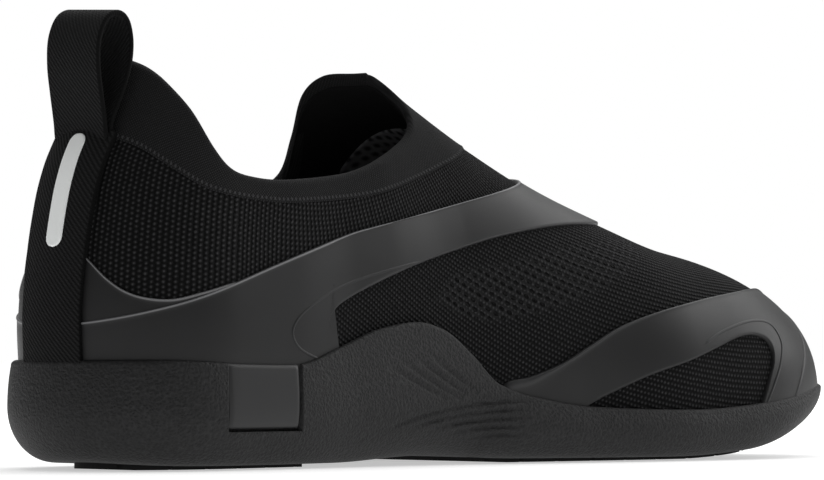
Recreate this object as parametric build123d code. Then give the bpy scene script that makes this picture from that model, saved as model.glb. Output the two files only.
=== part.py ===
from build123d import *
from functools import lru_cache
import math
import os

os.makedirs("parts", exist_ok=True)

# Slip-on knit running shoe for the left foot.
# Model frame: +X toward the toe, +Y toward the outer (lateral) side, +Z up, millimetres.
# Lengths along the shoe are first written as a station: the distance forward of the heel's back.

SHOE_LENGTH = 295.0
CENTRE_STATION = SHOE_LENGTH / 2
SIDE_SHIFT = -0.7
MEDIAL = -1
LATERAL = 1

# Layers of the upper, as depth inward from the knit's outer face (negative is outside it).
KNIT_THICKNESS = 1.6
LAYER_GAP = 0.1
FILM_THICKNESS = 0.9
TAPE_THICKNESS = 1.4
COUNTER_THICKNESS = 1.4
PUFF_THICKNESS = 0.8
PAD_THICKNESS = 3.2
LINING_THICKNESS = 0.9
LABEL_THICKNESS = 0.3
LINING_FRONT = 112.0
SOCKLINER_INSET = 3.5

# Sole unit.
SOLE_BACK = 0.0
WALL_STAND_OUT = 3.0
HEEL_PLAN_RADIUS = 38.0
RUBBER_STAND_DOWN = 1.35
RUBBER_RECESS = 2.0
BOARD_THICKNESS = 1.4
SOCK_FOAM_THICKNESS = 4.0
SOCK_COVER_THICKNESS = 0.7
FOAM_EDGE_GAP = 0.1
PAD_INSET = 9.0
GROOVE_WIDTH = 1.8
GROOVE_DEPTH = 1.6
GROOVE_PITCH = 13.0

# Medial heel side plate, set in a pocket of the foam sidewall.
PLATE_BACK = 34.0
PLATE_FRONT = 59.0
PLATE_TAPER = 1.2
PLATE_BOTTOM = 11.0
PLATE_THICKNESS = 1.6
PLATE_RECESS = 0.3
POCKET_GAP = 0.5

# Heel webbing, its pull loop and the reflective strip.
WEBBING_WIDTH = 21.0
TAPE_BOTTOM = 29.6
TAPE_TOP = 89.2
STRIP_WIDTH = 5.0
STRIP_BOTTOM = 58.5
STRIP_TOP = 88.0
STRIP_THICKNESS = 0.35
HINGE_STATION = 13.3
HINGE_HEIGHT = 90.6
LOOP_BASE_RADIUS = 1.0

# Heights at which the upper's closed outlines are drawn, and points on each side of an outline.
UPPER_LEVELS = [4, 12, 20, 28, 36, 44, 52, 60, 68, 76, 84, 92, 100, 108, 116]
SIDE_POINTS = 15
TOE_ROUND_START = 225.0
TOE_STATION = 291.0
# Height and draw-in of the sole wall's outlines, from its rounded foot up.
SOLE_OUTLINE = [(1.2, 7.8), (2.1, 5.4), (3.4, 3.3), (5.2, 1.5), (7.2, 0.4), (9.0, 0.0), (60.0, 0.6)]
HIGH = 160.0
LOW = -20.0
WIDE = 90.0


def smooth_curve(points):
    """Monotone cubic through (station, value) points, as a function of the station."""
    xs = [p[0] for p in points]
    ys = [p[1] for p in points]
    slopes = [(ys[i + 1] - ys[i]) / (xs[i + 1] - xs[i]) for i in range(len(xs) - 1)]
    tangents = [slopes[0]]
    for before, after in zip(slopes, slopes[1:]):
        tangents.append(0.0 if before * after <= 0 else 2 * before * after / (before + after))
    tangents.append(slopes[-1])

    def value(x):
        if x <= xs[0]:
            return ys[0]
        if x >= xs[-1]:
            return ys[-1]
        i = max(k for k in range(len(xs) - 1) if xs[k] <= x)
        step = xs[i + 1] - xs[i]
        t = (x - xs[i]) / step
        blend = t * t * (3 - 2 * t)
        start_slope = (t ** 3 - 2 * t * t + t) * step * tangents[i]
        end_slope = (t ** 3 - t * t) * step * tangents[i + 1]
        return ys[i] * (1 - blend) + ys[i + 1] * blend + start_slope + end_slope

    return value


# Ridge of the vamp and instep: height over station.
RIDGE = smooth_curve([(100, 150), (108, 128), (116, 112), (124, 103.5), (136, 97), (151, 90), (176, 79),
                      (198, 71), (222, 63.6), (240, 60), (256, 55.5), (271, 48.5), (281, 41), (286, 33),
                      (289, 24), (290, 10)])
# Back of the heel: station over height.
HEEL_BACK = smooth_curve([(0, 5), (30, 3.6), (40, 3.2), (55, 4.4), (71, 7.2), (80, 10), (88, 14),
                          (96, 18.5), (104, 22.5), (112, 25), (125, 26)])
# Half widths of the upper over station, at its widest height, before the heel and toe are rounded.
MEDIAL_WIDTH = smooth_curve([(0, 34), (60, 34), (85, 32.5), (118, 33), (165, 40), (208, 46), (240, 46),
                             (262, 44.5), (291, 42)])
LATERAL_WIDTH = smooth_curve([(0, 34), (60, 34), (90, 35), (130, 40), (180, 49), (212, 50), (240, 46.5),
                              (262, 42), (279, 38), (291, 34)])
# Sideways place of the ridge, and how the walls draw in with height behind the instep.
RIDGE_SIDE = smooth_curve([(0, 0), (110, 0), (290, -6)])
WALL_SHARE = smooth_curve([(0, 0.90), (20, 0.97), (34, 1.0), (50, 0.985), (70, 0.93), (85, 0.87),
                           (110, 0.80), (130, 0.78)])
# Foot bed height, underside of the foam, and top edge of the sidewall on each side.
FOOT_BED = smooth_curve([(-10, 18), (60, 17), (120, 15), (200, 10.5), (250, 12), (280, 16), (305, 21)])
FOOT_BED_STATIONS = [-10, 30, 75, 120, 160, 200, 235, 260, 282, 305]
FOAM_BOTTOM = smooth_curve([(-10, 3.0), (22, 1.2), (75, 1.2), (112, 2.4), (150, 1.3), (205, 1.2),
                            (235, 2.4), (260, 5.5), (280, 9.5), (305, 15.5)])
FOAM_BOTTOM_STATIONS = [-10, 5, 22, 50, 80, 112, 145, 175, 205, 235, 260, 282, 305]
MEDIAL_RIM = [(-10, 29), (15, 29.2), (40, 28.2), (58, 28), (75, 32.5), (92, 37.8), (106, 39.6), (116, 37.5),
              (126, 31), (136, 22.5), (148, 18.8), (170, 15.8), (205, 14.8), (240, 17), (270, 21.5),
              (300, 25)]
LATERAL_RIM = [(-10, 29), (15, 29.2), (40, 28.2), (70, 28), (100, 27), (130, 22.5), (160, 17.5),
               (205, 15.2), (240, 17), (270, 21.5), (300, 25)]

# Collar edge, seen from the side: the heel's peak, the low ankle and the tongue's peak.
MEDIAL_COLLAR = [(18, 111), (24, 110.4), (28, 106), (33, 96.5), (37, 86.5), (42, 80.5), (50, 78.4), (62, 78),
                 (83, 80), (96, 83), (112, 89), (121.5, 94.5), (124.5, 99.5), (122, 104.5), (116, 109.4)]
LATERAL_COLLAR = [(18, 111), (24, 110.4), (28, 106), (33, 96.5), (37, 86.5), (42, 80.5), (50, 78), (65, 76.5),
                  (85, 76.2), (101, 77.4), (109, 81), (111.5, 88), (111, 96), (111.5, 102.5), (113, 106.5),
                  (116, 109.4)]
TONGUE_TOP = 109.4
# Sewn join between the smooth collar band and the ribbed knit.
COLLAR_JOIN = [(-10, 90.5), (10, 90), (17, 88), (22, 83.2), (30, 77.8), (40, 75), (61, 74), (77, 75),
               (94, 77), (108, 80), (126, 84.6), (140, 88), (154, 92), (170, 97)]

# Film edges, seen from the side.
HEEL_FILM_TOP = [(-10, 62), (2, 59), (6, 55), (9, 48.6), (14, 45.4), (20, 45), (28, 46.8), (38, 49)]
BAND_TOP = [(-10, 37), (5, 39), (15, 42), (25, 45), (38, 49), (55, 55), (75, 61), (96, 66), (119, 70.3),
            (137, 74), (151, 76.8), (165, 79.5), (182, 84)]
BAND_BOTTOM = [(216, 68.8), (206, 68.4), (191, 67.8), (175, 67.6), (161, 66.6), (148, 64.8), (132, 61), (115, 57),
               (102, 53), (90, 49), (80, 45), (74.5, 41), (73, 37.5), (76, 33), (84, 27)]
TOE_FILM_TOP = [(136, 14), (140, 22), (148, 24), (158, 28), (168, 33), (180, 38.6), (196, 43), (215, 46.2),
                (240, 49), (262, 50.4), (276, 51.5), (300, 54)]
TOE_WINDOW = [(164, 10), (173, 19), (189, 25), (204, 29), (218, 33), (229, 36.3), (237, 37), (242.5, 34),
              (242, 28), (238, 22), (231, 10)]
BUMPER_BACK = [(244, 8), (248, 18), (252, 25), (255, 31), (257, 37), (257, 42), (253, 47), (246, 54)]
# Hidden layers: top edge of the heel counter, lower and upper edges of the collar foam.
COUNTER_TOP = [(-10, 62), (20, 60), (45, 50), (65, 38), (78, 26), (86, 16)]
FOAM_LOW = [(-10, 67), (20, 65), (45, 57), (65, 56), (85, 62), (106, 76)]
FOAM_HIGH = [(-10, 103), (15, 101), (22, 93), (30, 84), (40, 76.5), (60, 75), (80, 75.5), (106, 79)]
TONGUE_LINING_LOW = [(104, 70), (120, 72), (140, 78), (155, 86), (170, 96)]
# Centre line of the pull loop's webbing, seen from the side, up the rear leg and down the front leg.
LOOP_LINE = [(12.7, 94), (12.0, 100), (11.7, 107), (12.1, 114), (14.0, 119.4), (17.2, 121.6),
             (20.4, 119.9), (21.9, 115), (21.6, 109), (19.9, 103), (17.3, 97.5), (15.0, 93.4)]


def place(station, side, height):
    """Point of the model frame for a station, a sideways distance and a height."""
    return Vector(station - CENTRE_STATION, side + SIDE_SHIFT, height)


def ridge_height(station, depth):
    """Height at which the upper closes over the foot; behind the instep it stays open."""
    if station > 100:
        return RIDGE(station) - depth
    return RIDGE(100) + 2 * (100 - station) - depth


def vamp_front(height, depth):
    """Foremost station of the upper at a height."""
    near, far = 100.0, 291.0 - depth
    for _ in range(40):
        middle = (near + far) / 2
        if ridge_height(middle, depth) > height:
            near = middle
        else:
            far = middle
    return near


def toe_rounding(station):
    """Share of the width that is left where the toe is rounded in plan."""
    reach = min(1.0, max(0.0, (station - TOE_ROUND_START) / (TOE_STATION - TOE_ROUND_START)))
    return math.sqrt(1 - reach ** 2.2)


def upper_half_width(station, height, side, depth):
    """Half width of the upper at a station and height, on one side, at a layer's depth."""
    width = MEDIAL_WIDTH if side == MEDIAL else LATERAL_WIDTH
    toe_share = min(1.0, max(0.0, (station - TOE_ROUND_START) / (TOE_STATION - TOE_ROUND_START)))
    plan = (width(station) - depth) * toe_rounding(station + depth * toe_share)
    base = 18.0
    rise = (height - base) / (ridge_height(station, depth) - base)
    dome = math.sqrt(1 - min(1.0, max(0.0, rise)) ** 2.3)
    back = HEEL_BACK(height) + depth
    forward = min(1.0, (station - back) / (HEEL_PLAN_RADIUS - 2))
    heel = math.sqrt(max(0.0, 1 - (1 - forward) ** 2.15))
    lean = 1 - (1 - WALL_SHARE(height)) * min(1.0, max(0.0, 1 - (station - 130) / 60))
    return plan * dome * heel * lean


def outline_wire(back, front, half_width, height):
    """Closed smooth outline at one height, through points spaced closer at the two ends."""
    shares = [(1 - math.cos(math.pi * i / SIDE_POINTS)) / 2 for i in range(SIDE_POINTS + 1)]
    stations = [back + (front - back) * share for share in shares]
    points = [place(s, RIDGE_SIDE(s) + half_width(s, LATERAL), height) for s in stations]
    inner = stations[-2:0:-1]
    points += [place(s, RIDGE_SIDE(s) - half_width(s, MEDIAL), height) for s in inner]
    count = len(points)
    parameters = [i / count for i in range(count + 1)]
    return Wire([Edge.make_spline(points, periodic=True, parameters=parameters)])


@lru_cache(maxsize=None)
def upper_body(depth):
    """The upper as one filled form whose skin lies at a depth inside the knit's outer face."""
    wires = []
    for height in UPPER_LEVELS:
        back = HEEL_BACK(height) + depth
        front = vamp_front(max(height, 14.0), depth)

        def half_width(station, side, level=height):
            if station in (back, front):
                return 0.0
            return upper_half_width(station, level, side, depth)

        wires.append(outline_wire(back, front, half_width, height))
    return Solid.make_loft(wires)


@lru_cache(maxsize=None)
def sole_block(inset):
    """The sole unit's side wall as one block with a rounded foot, before its top and bottom are cut."""
    wires = []
    for height, draw_in in SOLE_OUTLINE:
        total = inset + draw_in
        back = SOLE_BACK + total
        front = SHOE_LENGTH - total

        def half_width(station, side, inward=total, heel_end=back, toe_end=front):
            if station in (heel_end, toe_end):
                return 0.0
            width = MEDIAL_WIDTH if side == MEDIAL else LATERAL_WIDTH
            start = min(1.0, (station - heel_end) / HEEL_PLAN_RADIUS)
            heel = math.sqrt(max(0.0, 1 - (1 - start) ** 2.2))
            toe_share = max(0.0, (station - TOE_ROUND_START) / (toe_end - TOE_ROUND_START))
            on_upper = TOE_ROUND_START + toe_share * (TOE_STATION - TOE_ROUND_START)
            toe = toe_rounding(on_upper if station > TOE_ROUND_START else station)
            return (width(station) + WALL_STAND_OUT - inward) * heel * toe

        wires.append(outline_wire(back, front, half_width, height))
    return Solid.make_loft(wires, ruled=True)


def profile_prism(edges, side_from=-WIDE, side_to=WIDE):
    """Solid that has the side-view profile given by edges, between two sideways distances."""
    face = Face(Wire(edges))
    prism = Solid.extrude(face, Vector(0, side_to - side_from, 0))
    return prism.moved(Location((0, side_from, 0)))


def side_view(points):
    """Side-view points (station, height) on the plane of the shoe's length."""
    return [Vector(station - CENTRE_STATION, 0, height) for station, height in points]


def above(points, side_from=-WIDE, side_to=WIDE):
    """Everything above a smooth side-view curve that runs from back to front."""
    run = side_view(points)
    corners = side_view([(points[-1][0], HIGH), (points[0][0], HIGH)])
    edges = [Edge.make_spline(run), Edge.make_line(run[-1], corners[0]),
             Edge.make_line(corners[0], corners[1]), Edge.make_line(corners[1], run[0])]
    return profile_prism(edges, side_from, side_to)


def below(points, side_from=-WIDE, side_to=WIDE):
    """Everything below a smooth side-view curve that runs from back to front."""
    run = side_view(points)
    corners = side_view([(points[-1][0], LOW - 5), (points[0][0], LOW - 5)])
    edges = [Edge.make_spline(run), Edge.make_line(run[-1], corners[0]),
             Edge.make_line(corners[0], corners[1]), Edge.make_line(corners[1], run[0])]
    return profile_prism(edges, side_from, side_to)


def foot_bed(rise=0.0):
    """Side-view points of the foot bed, moved up by a rise."""
    return [(station, FOOT_BED(station) + rise) for station in FOOT_BED_STATIONS]


def foam_bottom(rise=0.0):
    """Side-view points of the foam's underside, moved up by a rise."""
    return [(station, FOAM_BOTTOM(station) + rise) for station in FOAM_BOTTOM_STATIONS]


def bed_slab(low, high):
    """Slab that follows the foot bed, between two heights above it."""
    return above(foot_bed(low)) & below(foot_bed(high))


def box_between(low, high):
    """Box between two corners given as (station, side, height)."""
    first = place(*low)
    size = place(*high) - first
    return Solid.make_box(size.X, size.Y, size.Z).moved(Location(first))


def layer(outer_depth, inner_depth):
    """Shell of the upper between two depths."""
    return upper_body(outer_depth) - upper_body(inner_depth)


def collar_opening():
    """Space cut out of the top of the upper, with a different edge on each side."""
    medial = above_collar(MEDIAL_COLLAR, -WIDE, SIDE_SHIFT)
    lateral = above_collar(LATERAL_COLLAR, SIDE_SHIFT, WIDE)
    return medial + lateral


def above_collar(points, side_from, side_to):
    """Space above one side's collar edge, closed over the heel and the tongue."""
    run = side_view(points)
    ends = side_view([(140, TONGUE_TOP), (140, HIGH), (-10, HIGH), (-10, 111)])
    edges = [Edge.make_spline(run)]
    corners = [run[-1]] + ends + [run[0]]
    for start, end in zip(corners, corners[1:]):
        edges.append(Edge.make_line(start, end))
    return profile_prism(edges, side_from, side_to)


def closed_profile(points, side_from=-WIDE, side_to=WIDE):
    """Prism over a smooth open side-view curve closed by one straight edge."""
    run = side_view(points)
    return profile_prism([Edge.make_spline(run), Edge.make_line(run[-1], run[0])], side_from, side_to)


def one_shape(shape):
    """The solids of a boolean result as one plain shape, without crumbs."""
    solids = [s for s in shape.solids() if s.volume > 1.0]
    return solids[0] if len(solids) == 1 else Compound(solids)


def save(name, shape):
    """Write one node's STEP file."""
    export_step(one_shape(shape), f"parts/{name}.step")


# ---- sole unit ----

@lru_cache(maxsize=None)
def sole_unit():
    """The foam sole's outer form: side wall, toe spring and shaped top edge."""
    block = sole_block(0.0) & above(foam_bottom())
    block = block - above(MEDIAL_RIM, -WIDE, SIDE_SHIFT)
    return one_shape(block - above(LATERAL_RIM, SIDE_SHIFT, WIDE))


def plan_disc(station, radius):
    """Upright cylinder that rounds the end of a rubber pad in plan."""
    height = HIGH - LOW
    return Solid.make_cylinder(radius, height).moved(Location(place(station, 0, LOW)))


def plan_block(inset):
    """Upright block over the sole's plan outline, drawn in by an inset."""
    walls = sole_block(inset)
    top_face = walls.faces().sort_by(Axis.Z)[-1]
    foot = top_face.moved(Location((0, 0, LOW - top_face.center().Z)))
    return Solid.extrude(foot, Vector(0, 0, HIGH - LOW))


def rubber_pad(grown, back_disc, front_disc):
    """Rubber pad on the foam's underside, flat on the ground and rounded in plan between two discs."""
    form = plan_block(PAD_INSET - grown) & box_between((-5, -WIDE, 0), (300, WIDE, HIGH))
    form = form & above(foam_bottom(-RUBBER_STAND_DOWN))
    form = form & below(foam_bottom(RUBBER_RECESS + grown))
    for station, radius in (back_disc, front_disc):
        form = form & plan_disc(station, radius + grown)
    return one_shape(form)


def tread_grooves(first, last):
    """Cross grooves and one long groove, cut up into a pad from the ground."""
    cutters = []
    station = first
    while station < last:
        top = FOAM_BOTTOM(station) - RUBBER_STAND_DOWN + GROOVE_DEPTH
        half = GROOVE_WIDTH / 2
        cutters.append(box_between((station - half, -WIDE, LOW), (station + half, WIDE, top)))
        station += GROOVE_PITCH
    return cutters


def heel_pad(grown=0.0):
    return rubber_pad(grown, (50.0, 46.0), (44.0, 46.0))


def forefoot_pad(grown=0.0):
    return rubber_pad(grown, (240.0, 112.0), (176.0, 112.0))


def outsole_heel():
    pad = heel_pad()
    for cutter in tread_grooves(14.0, 88.0):
        pad = pad - cutter
    return pad


def outsole_forefoot():
    pad = forefoot_pad()
    for cutter in tread_grooves(138.0, 284.0):
        pad = pad - cutter
    return pad


def plate_profile(grown):
    """Side-view outline of the heel side plate, a little narrower at its foot."""
    back = PLATE_BACK - grown
    front = PLATE_FRONT + grown
    low = PLATE_BOTTOM - grown
    corners = side_view([(back + PLATE_TAPER, low), (front - PLATE_TAPER, low), (front, 45), (back, 45)])
    edges = [Edge.make_line(corners[i], corners[(i + 1) % 4]) for i in range(4)]
    return profile_prism(edges, -WIDE, SIDE_SHIFT)


def sidewall_plate():
    """Smooth plate let into the foam's inner heel side."""
    skin = sole_block(PLATE_RECESS) - sole_block(PLATE_RECESS + PLATE_THICKNESS)
    skin = skin & plate_profile(0.0)
    return skin - above(MEDIAL_RIM, -WIDE, SIDE_SHIFT)


def plate_pocket():
    depth = PLATE_RECESS + PLATE_THICKNESS + LAYER_GAP
    return (sole_block(-1.0) - sole_block(depth)) & plate_profile(POCKET_GAP)


def midsole():
    """Foam cup: the sole unit less the upper's seat, the plate's pocket and the rubber's recesses."""
    seat = upper_body(-LAYER_GAP) & above(foot_bed())
    foam = sole_unit() - seat
    foam = foam - plate_pocket()
    foam = foam - heel_pad(FOAM_EDGE_GAP)
    return foam - forefoot_pad(FOAM_EDGE_GAP)


# ---- under the foot ----

def bed_layer(depth, low, high):
    return upper_body(depth) & bed_slab(low, high)


def strobel_board():
    return bed_layer(KNIT_THICKNESS + LAYER_GAP, LAYER_GAP, LAYER_GAP + BOARD_THICKNESS)


def sockliner_foam():
    low = 2 * LAYER_GAP + BOARD_THICKNESS
    return bed_layer(SOCKLINER_INSET, low, low + SOCK_FOAM_THICKNESS)


def sockliner_cover():
    low = 3 * LAYER_GAP + BOARD_THICKNESS + SOCK_FOAM_THICKNESS
    return bed_layer(SOCKLINER_INSET, low, low + SOCK_COVER_THICKNESS)


# ---- upper ----

def knit_shell():
    return layer(0.0, KNIT_THICKNESS) & above(foot_bed(LAYER_GAP))


def knit_upper():
    """Ribbed knit body, from the board up to the sewn collar join."""
    return knit_shell() - above(COLLAR_JOIN)


def collar_band():
    """Smooth knit collar, from the sewn join up to the opening's edge, tongue included."""
    join = [(station, height + LAYER_GAP) for station, height in COLLAR_JOIN]
    return (knit_shell() & above(join)) - collar_opening()


def inner_layer(thickness):
    """Shell just inside the knit."""
    outer = KNIT_THICKNESS + LAYER_GAP
    return layer(outer, outer + thickness)


def above_board():
    return above(foot_bed(2 * LAYER_GAP + BOARD_THICKNESS))


def heel_counter():
    """Stiff cup round the heel, between the knit and the lining."""
    return inner_layer(COUNTER_THICKNESS) & above_board() & below(COUNTER_TOP)


def toe_puff():
    """Thin stiffener that holds the toe box up."""
    region = box_between((248, -WIDE, LOW), (300, WIDE, 44))
    return inner_layer(PUFF_THICKNESS) & above_board() & region


def collar_foam():
    """Horseshoe of soft foam round the ankle, between the collar knit and the lining."""
    return inner_layer(PAD_THICKNESS) & above(FOAM_LOW) & below(FOAM_HIGH)


def collar_lining():
    """Inner fabric of the heel and ankle, down to the sockliner."""
    outer = KNIT_THICKNESS + PAD_THICKNESS + 2 * LAYER_GAP
    region = box_between((-5, -WIDE, 0), (LINING_FRONT, WIDE, HIGH))
    sock_top = 4 * LAYER_GAP + BOARD_THICKNESS + SOCK_FOAM_THICKNESS + SOCK_COVER_THICKNESS
    lining = layer(outer, outer + LINING_THICKNESS) & region
    return (lining & above(foot_bed(sock_top))) - collar_opening()


def tongue_lining():
    """Inner fabric of the tongue and instep."""
    region = box_between((LINING_FRONT + 0.5, -WIDE, 0), (200, WIDE, HIGH))
    return (inner_layer(LINING_THICKNESS) & region & above(TONGUE_LINING_LOW)) - collar_opening()


def size_label():
    """Thin blank label on the tongue's inner face."""
    outer = KNIT_THICKNESS + LINING_THICKNESS + 2 * LAYER_GAP
    region = box_between((126, 1, 85), (143, 19, 97))
    return layer(outer, outer + LABEL_THICKNESS) & region


# ---- films, tape, loop and strip ----

@lru_cache(maxsize=None)
def film_shell():
    """Bonded film layer, just outside the knit."""
    return one_shape(layer(-LAYER_GAP - FILM_THICKNESS, -LAYER_GAP))


def heel_film():
    """Film round the heel, under the tape, from the band's top edge up."""
    band_edge = [(station, height + LAYER_GAP) for station, height in BAND_TOP]
    return film_shell() & below(HEEL_FILM_TOP) & above(band_edge)


def band_film():
    """Film band from the heel, forward up both sides and over the instep."""
    top = side_view(BAND_TOP)
    bottom = side_view(BAND_BOTTOM)
    front = side_view([(216, 84)])
    foot = side_view([(84, 10), (-10, 10)])
    edges = [Edge.make_spline(top), Edge.make_line(top[-1], front[0]),
             Edge.make_line(front[0], bottom[0]), Edge.make_spline(bottom),
             Edge.make_line(bottom[-1], foot[0]), Edge.make_line(foot[0], foot[1]),
             Edge.make_line(foot[1], top[0])]
    return (film_shell() & profile_prism(edges)) - sole_cover()


@lru_cache(maxsize=None)
def sole_cover():
    """Everything that the sole unit's wall hides or holds, with a small gap over its top edge."""
    medial = [(station, height + LAYER_GAP) for station, height in MEDIAL_RIM]
    lateral = [(station, height + LAYER_GAP) for station, height in LATERAL_RIM]
    return below(medial, -WIDE, SIDE_SHIFT) + below(lateral, SIDE_SHIFT, WIDE)


def bumper_region(gap):
    """Everything in front of the bumper's back edge."""
    run = side_view([(station + gap, height) for station, height in BUMPER_BACK])
    corners = side_view([(246 + gap, 90), (320, 90), (320, LOW), (244 + gap, LOW)])
    chain = [run[-1]] + corners + [run[0]]
    edges = [Edge.make_spline(run)]
    for start, end in zip(chain, chain[1:]):
        edges.append(Edge.make_line(start, end))
    return profile_prism(edges)


def toe_wrap():
    return (film_shell() & below(TOE_FILM_TOP)) - sole_cover()


def toe_film(side_from, side_to):
    """One side's film from the sidewall forward and up to the toe, with a window over the knit."""
    half = box_between((120, side_from, LOW), (300, side_to, HIGH))
    return (toe_wrap() & half) - closed_profile(TOE_WINDOW) - bumper_region(0.0)


def toe_film_medial():
    return toe_film(-WIDE, 0)


def toe_film_lateral():
    return toe_film(0, WIDE)


def toe_bumper():
    """Moulded cap over the front of the toe."""
    return toe_wrap() & bumper_region(LAYER_GAP)


def tape_depth():
    """Depth of the tape's inner face, just outside the film."""
    return -2 * LAYER_GAP - FILM_THICKNESS


def heel_tape():
    """Woven tape up the back of the heel, over the film."""
    half = WEBBING_WIDTH / 2
    region = box_between((-5, -half, TAPE_BOTTOM), (40, half, TAPE_TOP))
    return layer(tape_depth() - TAPE_THICKNESS, tape_depth()) & region


def reflective_strip():
    """Thin strip with round ends on the tape's back."""
    inner = tape_depth() - TAPE_THICKNESS - LAYER_GAP / 2
    radius = STRIP_WIDTH / 2
    region = box_between((-5, -radius, STRIP_BOTTOM + radius), (40, radius, STRIP_TOP - radius))
    for height in (STRIP_BOTTOM + radius, STRIP_TOP - radius):
        start = Plane(origin=place(-5, 0, height), z_dir=(1, 0, 0))
        region = region + Solid.make_cylinder(radius, 45, start)
    return layer(inner - STRIP_THICKNESS, inner) & region


def offset_line(points, distance):
    """Points moved square to their line, to its left for a positive distance."""
    moved = []
    for before, here, after in zip(points, points[1:], points[2:]):
        run = after[0] - before[0]
        rise = after[1] - before[1]
        size = math.hypot(run, rise)
        moved.append((here[0] - rise / size * distance, here[1] + run / size * distance))
    return moved


def pull_loop():
    """Loop of folded webbing on a rolled foot, which turns about the hinge line."""
    half_width = WEBBING_WIDTH / 2
    foot = (HINGE_STATION, HINGE_HEIGHT)
    line = [foot] + LOOP_LINE + [foot]
    outer = side_view([foot] + offset_line(line, TAPE_THICKNESS / 2))
    inner = side_view([(foot[0] + 0.6, foot[1] + 4.2)] + offset_line(line, -TAPE_THICKNESS / 2)[1:-1])
    side_from = SIDE_SHIFT - half_width
    side_to = SIDE_SHIFT + half_width
    loop = profile_prism([Edge.make_spline(outer, periodic=True)], side_from, side_to)
    loop = loop - profile_prism([Edge.make_spline(inner, periodic=True)], side_from, side_to)
    base = Plane(origin=place(foot[0], -half_width, foot[1]), z_dir=(0, 1, 0))
    return loop + Solid.make_cylinder(LOOP_BASE_RADIUS, WEBBING_WIDTH, base)


NODES = [outsole_heel, outsole_forefoot, midsole, sidewall_plate, strobel_board, sockliner_foam,
         sockliner_cover, knit_upper, collar_band, heel_counter, toe_puff, collar_foam, collar_lining,
         tongue_lining, size_label, heel_film, band_film, toe_film_medial, toe_film_lateral, toe_bumper,
         heel_tape, reflective_strip, pull_loop]

for node in NODES:
    save(node.__name__, node())
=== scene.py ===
import math

import bmesh
import bpy
import numpy as np
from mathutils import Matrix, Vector

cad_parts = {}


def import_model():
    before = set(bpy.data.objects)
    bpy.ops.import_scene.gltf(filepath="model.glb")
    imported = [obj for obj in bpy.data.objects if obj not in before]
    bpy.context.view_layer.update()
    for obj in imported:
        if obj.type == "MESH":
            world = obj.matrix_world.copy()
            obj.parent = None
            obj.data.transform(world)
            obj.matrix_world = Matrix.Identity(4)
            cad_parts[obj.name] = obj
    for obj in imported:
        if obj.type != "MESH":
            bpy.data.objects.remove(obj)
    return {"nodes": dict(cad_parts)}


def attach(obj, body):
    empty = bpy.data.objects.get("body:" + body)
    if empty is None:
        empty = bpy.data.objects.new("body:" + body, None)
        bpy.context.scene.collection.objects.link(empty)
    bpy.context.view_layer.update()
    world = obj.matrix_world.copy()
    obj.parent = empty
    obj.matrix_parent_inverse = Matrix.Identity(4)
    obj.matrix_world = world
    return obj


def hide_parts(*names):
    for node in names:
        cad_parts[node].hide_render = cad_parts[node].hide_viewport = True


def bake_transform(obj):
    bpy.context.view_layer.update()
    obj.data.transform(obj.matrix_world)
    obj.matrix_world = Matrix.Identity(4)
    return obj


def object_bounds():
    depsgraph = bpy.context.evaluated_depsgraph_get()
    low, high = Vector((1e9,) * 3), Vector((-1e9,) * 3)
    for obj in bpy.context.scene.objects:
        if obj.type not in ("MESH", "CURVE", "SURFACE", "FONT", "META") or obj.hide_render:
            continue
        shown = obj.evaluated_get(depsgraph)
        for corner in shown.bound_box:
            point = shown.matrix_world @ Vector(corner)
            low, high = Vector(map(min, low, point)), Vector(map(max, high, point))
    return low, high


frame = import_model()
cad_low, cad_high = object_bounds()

# Slip-on knit running shoe, left foot. Lengths are in millimetres until a mesh is made.
# A station is the distance forward of the heel's back; heights are above the ground.
MM = 0.001
MEDIAL, LATERAL = SIDES = -1, 1
SHOE_LENGTH = (cad_high.x - cad_low.x) / MM
CENTRE_STATION = SHOE_LENGTH / 2
SIDE_SHIFT = -0.7
HEEL_RADIUS = 36.0
TOE_ROUND_START = 225.0
TOE_STATION = 291.0
DOME_BASE = 18.0
BELOW_BASE = 20.0
SOLVER_STEPS = 26
# Powers of the curves that round the plan, the heel and the dome over the foot.
PLAN_POWER, HEEL_POWER, DOME_POWER = 2.2, 2.15, 2.3
# The walls' lean fades out over a run that starts at a station.
LEAN_FADE_START, LEAN_FADE_RUN = 130, 60


class Curve:
    """Monotone cubic through (place, value) points, for arrays."""

    def __init__(self, points):
        self.x = np.array([p[0] for p in points], float)
        self.y = np.array([p[1] for p in points], float)
        slope = np.diff(self.y) / np.diff(self.x)
        before, after = slope[:-1], slope[1:]
        same = before * after > 0
        middle = np.where(same, 2 * before * after / np.where(same, before + after, 1), 0)
        self.tangent = np.concatenate([slope[:1], middle, slope[-1:]])

    def __call__(self, x):
        x = np.clip(x, self.x[0], self.x[-1])
        i = np.clip(np.searchsorted(self.x, x, side="right") - 1, 0, len(self.x) - 2)
        step = self.x[i + 1] - self.x[i]
        t = (x - self.x[i]) / step
        blend = t * t * (3 - 2 * t)
        rise = (t ** 3 - 2 * t * t + t) * step * self.tangent[i]
        fall = (t ** 3 - t * t) * step * self.tangent[i + 1]
        return self.y[i] * (1 - blend) + self.y[i + 1] * blend + rise + fall


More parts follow.
